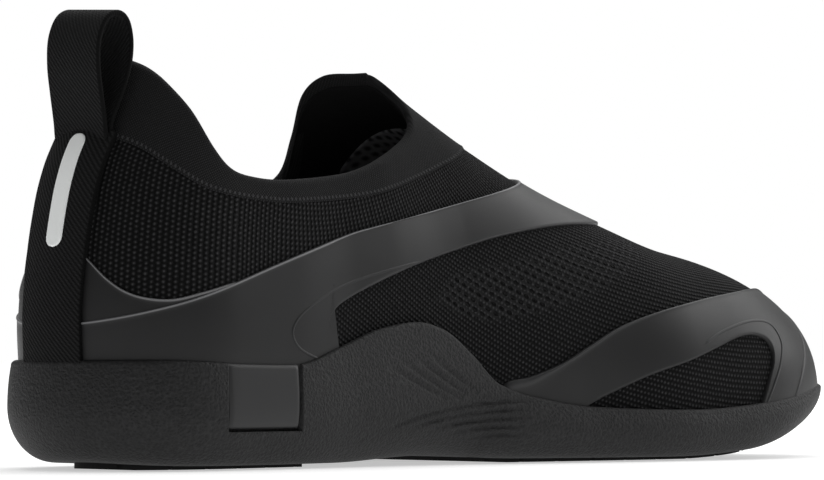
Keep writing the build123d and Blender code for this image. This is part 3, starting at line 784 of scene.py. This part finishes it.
TOE_TOP = [
    (134, 10), (139, 21.5), (148, 24.2), (158, 28), (168, 33), (180, 38.6), (196, 43), (215, 46.2),
    (232, 48.2), (245, 49.4), (257, 49.4), (269, 46.6), (274.5, 42), (271.5, 35), (264, 27), (256, 17)]
TOE_FOOT = [
    (140, 10), (150, 10.5), (160, 12.5), (170, 17.5), (180, 21.6), (190, 25.2), (204, 29), (217, 33),
    (226, 35.6), (233, 36.3), (238.4, 35), (240.2, 32), (239.4, 28), (237, 24), (234, 18), (230, 10)]
BUMPER_BACK = [
    (247, 15), (252, 21), (257.5, 27), (263, 32.5), (267, 37.5), (269.5, 41.5), (270.8, 44.3), (271.6, 46),
    (272.2, 47), (272.8, 47.5)]
BUMPER_FOOT = [
    (249, 12), (258, 15), (266, 17), (272, 18), (277, 19), (281, 20), (284, 20.5), (286, 21), (288.2, 22.5),
    (289.4, 26)]
# Low moulded ridges: in the band's rear end, and round the toe film's window.
BAND_STEP = [(111, 56.4), (94, 53), (78, 49), (66, 44), (60, 40), (58, 36), (61, 32), (69, 29)]
WINDOW_STEP = [
    (209, 33), (219, 37), (233, 40), (243, 39.4), (246, 34.5), (243.5, 29), (239, 22.5), (234, 15)]


def film_grid(lower, upper, side, columns, middle_rows, raised=0.0, to_ridge=False, painted_highlight=1.0):
    """Bonded film between two lines, raised off the skin and with a share of the painted highlight along
    its edges.
    """
    strip = Strip(lower, upper, side, columns, to_ridge=to_ridge)
    low, high = ([(distance, lift + raised * (lift > 0), edge * painted_highlight) for distance, lift, edge in rows]
                 for rows in (FILM_LOW_EDGE, FILM_HIGH_EDGE))
    return strip.grid(strip.rows(low, middle_rows, FILM_LIFT + raised, high))


def bumper_grid(side):
    """Toe bumper: its rear and top edge is a plain thin step over the toe film."""
    strip = Strip(BUMPER_FOOT, BUMPER_BACK, side, 150, to_ridge=True)
    # The third numbers of these rows paint a faint highlight along the bumper's edge.
    high = [(2.2, BUMPER_LIFT, 0.0), (0.9, BUMPER_LIFT, 0.05), (0.4, 1.3, 0.15), (0.12, 1.1, 0.1),
            (0.0, 0.7, 0), (0.0, -0.6, 0)]
    low = [(0.0, -0.6, 0), (0.2, 1.2, 0), (1.0, BUMPER_LIFT, 0)]
    return strip.grid(strip.rows(low, 26, BUMPER_LIFT, high))


heel_films = [film_grid(HEEL_FILM_FOOT, HEEL_FILM_TOP, side, 120, 6, -0.35) for side in SIDES]
make_piece("heel_film_wedge", heel_films, "film", ["heel_film"])
bands = [film_grid(BAND_FOOT, BAND_TOP, side, 320, 30, to_ridge=True) for side in SIDES]
beads = [ridge_bead(BAND_STEP, side, FILM_LIFT, 0.4, 0.2, 160) for side in SIDES]
make_piece("instep_band", bands + beads, "film", ["band_film"])
for side, word in ((MEDIAL, "medial"), (LATERAL, "lateral")):
    # The toe film takes only a faint share of the painted highlight.
    toe_film = film_grid(TOE_FOOT, TOE_TOP, side, 320, 22, painted_highlight=0.12)
    bead = ridge_bead(WINDOW_STEP, side, FILM_LIFT, 0.5, 0.26, 160)
    make_piece("toe_arch_" + word, [toe_film, bead], "film", ["toe_film_" + word])
make_piece("toe_bumper_cap", both(bumper_grid), "film", ["toe_bumper"])


# ---- sole ----

WALL_STAND_OUT = 3.0
SOLE_HEEL_RADIUS = 38.0
SHOE_TIP = 292.6
LIP_RADIUS = 1.5
# Height of the foam's bottom under the plate, and of the round at the sidewall's foot.
HEEL_BASE, FOOT_TALL = 1.2, 15.0
PLATE_FROM, PLATE_TO, PLATE_BOTTOM = 34.0, 59.0, 11.0
PLATE_THICKNESS = 1.0
POCKET_GAP, POCKET_DEPTH = 0.75, 3.0


def sole_half(station, draw, side):
    """Half width of the sole's outline drawn in by a distance."""
    start = np.clip((station - draw) / SOLE_HEEL_RADIUS, 0, 1)
    heel = np.sqrt(np.maximum(0, 1 - (1 - start) ** PLAN_POWER))
    toe_share = np.clip((station - TOE_ROUND_START) / (SHOE_TIP - draw - TOE_ROUND_START), 0, 1)
    toe = toe_rounding(TOE_ROUND_START + toe_share * (TOE_STATION - TOE_ROUND_START))
    plan = MEDIAL_WIDTH(station) if side < 0 else LATERAL_WIDTH(station)
    return (plan + WALL_STAND_OUT - draw) * heel * toe


def foot_round(station, side):
    """Height and depth of the round at the sidewall's foot."""
    wall = RIM[side](station) - FOAM_BOTTOM(station)
    toward_toe = np.clip((station - 225) / 50, 0, 1)
    tall = np.minimum(FOOT_TALL, 0.6 * wall) * (1 - toward_toe) + 0.86 * wall * toward_toe
    arch = np.exp(-((station - 122) / 30) ** 2) * (side < 0)
    deep = 7.5 + 4 * np.clip(1 - station / 40, 0, 1) + 3.0 * toward_toe + 8.0 * arch
    return tall, deep


def wall_rows():
    """(name, share) rows of the sidewall's profile, from the foot's start to inside the lip."""
    turns = set(np.linspace(0, math.pi / 2, 36))
    for height in (PLATE_BOTTOM - POCKET_GAP, PLATE_BOTTOM):
        for base in (HEEL_BASE, HEEL_BASE + 0.05):
            turns.add(math.acos(1 - (height - base) / FOOT_TALL))
    rows = [("foot", turn) for turn in sorted(turns)]
    rows += [("wall", k / 40) for k in range(1, 41)]
    rows += [("lip", math.pi / 2 * k / 6) for k in range(1, 7)]
    return rows


def wall_profile(kind, share, station, side):
    """Draw-in and height of one profile row along the sole."""
    rim, base = RIM[side](station), FOAM_BOTTOM(station)
    tall, deep = foot_round(station, side)
    if kind == "foot":
        return deep * (1 - math.sin(share)), base + tall * (1 - math.cos(share))
    if kind == "wall":
        height = base + tall + (rim - LIP_RADIUS - base - tall) * share
        return 0.8 * share ** 2 + 0 * station, height
    draw = 0.8 + LIP_RADIUS * (1 - math.cos(share))
    return draw + 0 * station, rim - LIP_RADIUS + LIP_RADIUS * math.sin(share)


def arch_grooves(station, height):
    """Depth of the curved grooves moulded into the arch's sidewall: a rising fan and a crossing set."""
    depth = np.zeros_like(station)
    for k in range(5):
        across = height - (17.4 - 2.25 * k) + 0.003 * (142 - station) ** 2
        inside = np.clip((station - 92 - 8 * k) / 12, 0, 1) * np.clip((146 - station) / 10, 0, 1)
        depth += 0.9 * np.exp(-(across / 0.6) ** 2) * inside
    for k in range(4):
        middle = 118 - 4.3 * k
        across = height - (25.5 - 0.95 * k) + (0.6 - 0.06 * k) * (station - middle)
        inside = np.clip(1.4 - np.abs(station - middle) / (7 + k), 0, 1)
        depth += 0.6 * np.exp(-(across / 0.7) ** 2) * inside
    return depth


def pocket_depth(station, height, side):
    """Depth of the plate's pocket, which fades toward the rim."""
    if side > 0:
        return 0 * station
    inside = (station > PLATE_FROM - POCKET_GAP - 0.01) & (station < PLATE_TO + POCKET_GAP + 0.01)
    inside = inside & (height > PLATE_BOTTOM - POCKET_GAP - 0.01)
    fade = np.clip((29.5 - height) / 8, 0.15, 1)
    return np.where(inside, POCKET_DEPTH * fade, 0)


def sole_stations(side):
    """Shares of the sole's length at even steps round its outline, with the pocket's edges among them."""
    share = (1 - np.cos(np.linspace(0, math.pi, 6000))) / 2
    line = np.stack([share * SHOE_TIP, sole_half(share * SHOE_TIP, 0, side)], 1)
    run = run_lengths(line)
    even = np.interp(np.linspace(0, run[-1], 400), run, share)
    start, end = PLATE_FROM - POCKET_GAP, PLATE_TO + POCKET_GAP
    edges = [start - 0.05, start, end, end + 0.05]
    return np.sort(np.concatenate([even, np.array(edges) / SHOE_TIP]))


def sole_row(share, draw, height, side, out=0.0):
    """One row of points round the sole on one side."""
    station = draw + (SHOE_TIP - 2 * draw) * share
    half = sole_half(station, draw, side) + out
    half = np.where((share < 1e-9) | (share > 1 - 1e-9), 0, half)
    return np.stack([station - CENTRE_STATION, RIDGE_SIDE(station) + side * half + SIDE_SHIFT, height], 1)


def to_middle(points):
    """The same row of points, moved sideways onto the sole's middle line."""
    return np.stack([points[:, 0], RIDGE_SIDE(points[:, 0] + CENTRE_STATION) + SIDE_SHIFT, points[:, 2]], 1)


def midsole_grid(side):
    """Foam cup on one side: bottom, sidewall, lip and the bed inside."""
    share = sole_stations(side)
    station = share * SHOE_TIP
    base, bed = FOAM_BOTTOM(station), FOOT_BED(station)
    edge = sole_row(share, foot_round(station, side)[1], base, side)
    middle = to_middle(edge)
    rows = [middle + (edge - middle) * k / 6 for k in range(6)]
    for kind, turn in wall_rows():
        draw, height = wall_profile(kind, turn, station, side)
        sunk = pocket_depth(station, height, side) + arch_grooves(station, height)
        rows.append(sole_row(share, draw, height, side, -sunk))
    rim = RIM[side](station)
    for draw, height in ((3.6, rim - 0.15), (4.6, rim - 1.4), (7.0, np.minimum(bed, rim - 3))):
        inner = sole_row(share, draw, height, side)
        rows.append(inner)
    centre = to_middle(inner)
    rows += [inner + (centre - inner) * k / 4 for k in range(1, 5)]
    return Grid(np.stack(rows), flip=side > 0)


def plate_grid():
    """Smooth plate set in the medial sidewall, sunk a little at its foot."""
    columns = 40
    station = np.linspace(PLATE_FROM, PLATE_TO, columns)
    turn_from = math.acos(1 - (PLATE_BOTTOM - HEEL_BASE) / FOOT_TALL)
    profile = [("foot", turn_from + (math.pi / 2 - turn_from) * k / 8) for k in range(9)]
    profile += [("wall", k / 16) for k in range(1, 17)]
    profile += [("lip", math.pi / 2 * k / 5) for k in range(1, 6)]
    middle = (PLATE_FROM + PLATE_TO) / 2
    edge = np.minimum(1, np.minimum(np.arange(columns), np.arange(columns)[::-1]) / 1.5)
    lines = []
    for k, (kind, share) in enumerate(profile):
        draw, height = wall_profile(kind, share, station, MEDIAL)
        widen = 1 + 0.035 * k / len(profile)
        spread = (station - middle) * widen + middle
        out = -0.1 * (1 - k / len(profile)) - 0.02
        out = out - 0.5 * (1 - edge) ** 2 - (0.5 if k == 0 else 0.12 if k == 1 else 0)
        half = sole_half(spread, draw, MEDIAL) + out
        lines.append(np.stack([spread - CENTRE_STATION, RIDGE_SIDE(spread) - half + SIDE_SHIFT, height], 1))
    outer = np.stack(lines)
    inner = outer + [0, PLATE_THICKNESS, 0]
    return Grid(np.concatenate([outer, inner[::-1], outer[:1]]))


make_piece("midsole_foam", both(midsole_grid), "sole_foam", ["midsole"])
make_piece("side_plate_inset", [plate_grid()], "side_plate", ["sidewall_plate"])


SOCKLINER_TALL, SOCKLINER_INSET = 6.3, 10.0


def sockliner_grid(side):
    """Foot bed cover with its edge turned up against the lining."""
    share = sole_stations(side)
    station = share * SHOE_TIP
    top = FOOT_BED(station) + SOCKLINER_TALL
    foot = sole_row(share, SOCKLINER_INSET, top - 4.5, side)
    edge = sole_row(share, SOCKLINER_INSET, top + 2.5, side)
    flat = sole_row(share, SOCKLINER_INSET + 6, top, side)
    centre = to_middle(flat) - [0, 0, 0.5]
    rows = [foot + (edge - foot) * k / 3 for k in range(4)]
    for k in range(1, 7):
        dip = 1.2 * math.sin(math.pi * k / 6)
        rows.append(edge + (flat - edge) * k / 6 - [0, 0, dip])
    rows += [flat + (centre - flat) * k / 8 for k in range(1, 9)]
    return Grid(np.stack(rows), flip=side > 0)


sock = make_piece("foot_bed", both(sockliner_grid), "sock_fabric",
                  ["sockliner_cover", "sockliner_foam"])


# ---- heel tape, strip and pull loop ----

TAPE_HALF = 10.5
TAPE_LIFT = 2.5
STRIP_THICKNESS = 0.38
# Sideways place of the tape's and the strip's middle, toward the medial side.
TAPE_ASIDE, STRIP_ASIDE = -0.7, -1.6


def heel_place(sideways, height):
    """Chart place of a point on the heel's back at a sideways distance."""
    station = HEEL_BACK(height) + 4 + 0 * sideways
    side = np.sign(sideways) + (sideways == 0)
    for _ in range(20):
        widest = half_width(station, height, side)
        forward = np.clip((station - HEEL_BACK(height)) / HEEL_RADIUS, 1e-6, 1)
        factor = np.sqrt(1 - (1 - forward) ** HEEL_POWER)
        wanted = np.abs(sideways) / (widest / factor)
        station = HEEL_BACK(height) + HEEL_RADIUS * (1 - (1 - wanted ** 2) ** (1 / HEEL_POWER))
    return (*to_chart(station, height), side)


def heel_point(sideways, height, lift):
    around, up, side = heel_place(sideways, height)
    return skin(around, up, side, np.broadcast_to(lift, around.shape))


def tape_grid(low=28.6, high=88.5, rows=150, columns=40):
    """Woven tape up the heel, with round edges."""
    across = np.concatenate([[-1.0, -1.0], np.linspace(-0.985, 0.985, columns), [1.0, 1.0]]) * TAPE_HALF
    lift = np.full(len(across), TAPE_LIFT)
    lift[:2] = lift[-2:][::-1] = (-0.1, TAPE_LIFT - 0.55)
    across, height = np.meshgrid(across, np.linspace(low, high, rows))
    points = heel_point(across + TAPE_ASIDE, height, lift)
    edges = 1.0 * (np.abs(across) > 0.99 * TAPE_HALF)
    return Grid(points, np.stack([across, height], -1), edges, flip=True)


def pale_strip_grid(radius=2.75, low=58.5, high=88.0, columns=21, rows=90):
    """Pale capsule on the tape with softly raised edges."""
    across, height = np.meshgrid(np.linspace(-1, 1, columns), np.linspace(low, high, rows))
    end = np.minimum(height - low, high - height)
    half = np.sqrt(np.maximum(0, radius ** 2 - np.maximum(0, radius - end) ** 2))
    crown = np.sqrt(np.maximum(0, 1 - np.abs(across) ** 8))
    lift = TAPE_LIFT + STRIP_THICKNESS * crown * np.minimum(1, np.sqrt(end / 0.4))
    return Grid(heel_point(half * across + STRIP_ASIDE, height, lift), flip=True)


LOOP_LINE = [
    (13.6, 86.0), (13.05, 89.0), (12.75, 92), (12.1, 96), (11.4, 100), (10.4, 107), (10.7, 114),
    (13.2, 119.5), (17.2, 121.6), (20.4, 119.9), (21.9, 115), (21.6, 109), (19.9, 103), (17.6, 97.5),
    (15.6, 93.4), (14.9, 90.5), (15.4, 87.5)]
LOOP_THICKNESS = 1.4


def loop_grid(columns=260):
    """Folded webbing swept along its side-view line."""
    line = spline(LOOP_LINE, np.linspace(0, len(LOOP_LINE) - 1, columns))
    run = run_lengths(line)
    ahead = np.gradient(line, axis=0)
    ahead /= np.linalg.norm(ahead, axis=1, keepdims=True)
    out = np.stack([-ahead[:, 1], ahead[:, 0]], 1)
    ring = []
    radius = LOOP_THICKNESS / 2
    flat = TAPE_HALF - radius
    for way in (1, -1):
        ring += [(way * (flat - 2 * flat * k / 16), way * radius, 0) for k in range(17)]
        for k in range(1, 8):
            turn = way * math.pi / 2 + math.pi * k / 8
            ring.append((-way * flat + radius * math.cos(turn), radius * math.sin(turn), 1))
    sideways, off, edges = (column + 0 * run[:, None] for column in np.array(ring).T)
    tilt = 0.06 * np.clip((line[:, 1:] - 94) / 20, 0, 1)
    station = line[:, :1] + out[:, :1] * off - CENTRE_STATION
    height = line[:, 1:] + out[:, 1:] * off + tilt * sideways
    points = np.stack([station, sideways + TAPE_ASIDE + SIDE_SHIFT, height], -1)
    places = np.stack([sideways, run[:, None] + 57 + 0 * off], -1)
    return Grid(points, places, edges, closed=True)


make_piece("heel_tape_webbing", [tape_grid()], "webbing", ["heel_tape"])
make_piece("pale_strip", [pale_strip_grid()], "strip", ["reflective_strip"])
loop = make_piece("pull_loop_webbing", [loop_grid()], "webbing", ["pull_loop"], body=None)
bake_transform(loop)


# ---- rubber pads ----

TOE_SPRING = Curve([(0, 0), (235, 0.2), (260, 1.9), (280, 3.4), (305, 4)])


def rubber_pad(node, name, shrink):
    """Copy of a CAD pad drawn in from the sole's edge and lifted with the toe."""
    mesh = frame["nodes"][node].data.copy()
    mesh.name = name
    places = np.zeros(len(mesh.vertices) * 3)
    mesh.vertices.foreach_get("co", places)
    places = places.reshape(-1, 3)
    middle = (places.min(axis=0) + places.max(axis=0)) / 2
    places[:, :2] = middle[:2] + (places[:, :2] - middle[:2]) * shrink
    places[:, 2] += TOE_SPRING(places[:, 0] / MM + CENTRE_STATION) * MM
    mesh.vertices.foreach_set("co", places.ravel())
    mesh.materials.clear()
    mesh.materials.append(MATERIALS["outsole_rubber"])
    pad = link_object(name, mesh)
    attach(pad, "shoe")
    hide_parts(node)


rubber_pad("outsole_heel", "heel_rubber_pads", (0.84, 0.72))
rubber_pad("outsole_forefoot", "forefoot_rubber_pads", (0.93, 0.86))


# ---- CAD pieces that stay ----

for node, word in (("strobel_board", "board"), ("heel_counter", "stiffener"), ("toe_puff", "stiffener")):
    holder = frame["nodes"][node]
    holder.data.materials.clear()
    holder.data.materials.append(MATERIALS[word])


# ---- studio ----

def floor_material():
    """Pale floor that glows softly far from the shoe, so that it meets the white surroundings."""
    n = Nodes("floor_white", 0.8, 0.85, 0.1)
    here = n.add("ShaderNodeTexCoord").outputs["Object"]
    far = n.add("ShaderNodeVectorMath", {"operation": "LENGTH"}, Vector=here).outputs["Value"]
    n.colour(n.noise(0.002), (0.84, 0.84, 0.84), (0.86, 0.86, 0.86))
    glow = n.ramp(far, 0.25, 2.5, 0.5, 1.0, "SMOOTHSTEP")
    n.tree.links.new(glow, n.shader.inputs["Emission Strength"])
    n.shader.inputs["Emission Color"].default_value = (1, 1, 1, 1)


def floor(reach=12.0):
    mesh = bpy.data.meshes.new("floor")
    corners = [(-reach, -reach, 0), (reach, -reach, 0), (reach, reach, 0), (-reach, reach, 0)]
    mesh.from_pydata(corners, [], [(0, 1, 2, 3)])
    floor_material()
    mesh.materials.append(MATERIALS["floor_white"])
    ground = link_object("floor", mesh)


def area_light(name, place, target, size, power):
    light = bpy.data.lights.new(name, "AREA")
    light.shape = "RECTANGLE"
    light.size, light.size_y = size
    light.energy = power
    lamp = link_object(name, light)
    lamp.location = place
    lamp.rotation_euler = (Vector(target) - Vector(place)).to_track_quat("-Z", "Y").to_euler()


def world(shown, lit):
    """White surroundings: one strength as the backdrop, a lower one as fill light."""
    scene = bpy.context.scene
    scene.view_settings.view_transform = "Standard"
    scene.world = bpy.data.worlds.new("studio")
    scene.world.use_nodes = True
    tree = scene.world.node_tree
    background = tree.nodes["Background"]
    background.inputs["Color"].default_value = (1, 1, 1, 1)
    path = tree.nodes.new("ShaderNodeLightPath")
    strength = tree.nodes.new("ShaderNodeMapRange")
    tree.links.new(path.outputs["Is Camera Ray"], strength.inputs["Value"])
    strength.inputs["To Min"].default_value = lit
    strength.inputs["To Max"].default_value = shown
    tree.links.new(strength.outputs[0], background.inputs["Strength"])


def camera():
    """Low camera behind the medial side, 45 degrees off the shoe's length."""
    data = bpy.data.cameras.new("camera")
    data.sensor_width = 36.0
    data.lens = 182.6
    data.clip_end = 60
    item = link_object("camera", data)
    item.location = ((-707.4 - CENTRE_STATION) * MM, (-845.2 + SIDE_SHIFT) * MM, 30 * MM)
    pitch = math.radians(1.60)
    item.rotation_euler = (math.pi / 2 + pitch, 0, -math.pi / 4)
    bpy.context.scene.camera = item


floor()
world(1.0, 0.22)
area_light("top", (0.65, 0.45, 1.45), (0, 0, 0), (2.0, 2.0), 25)
area_light("front", (1.5, -0.5, 0.8), (0, 0, 0.05), (1.0, 1.0), 9)
camera()
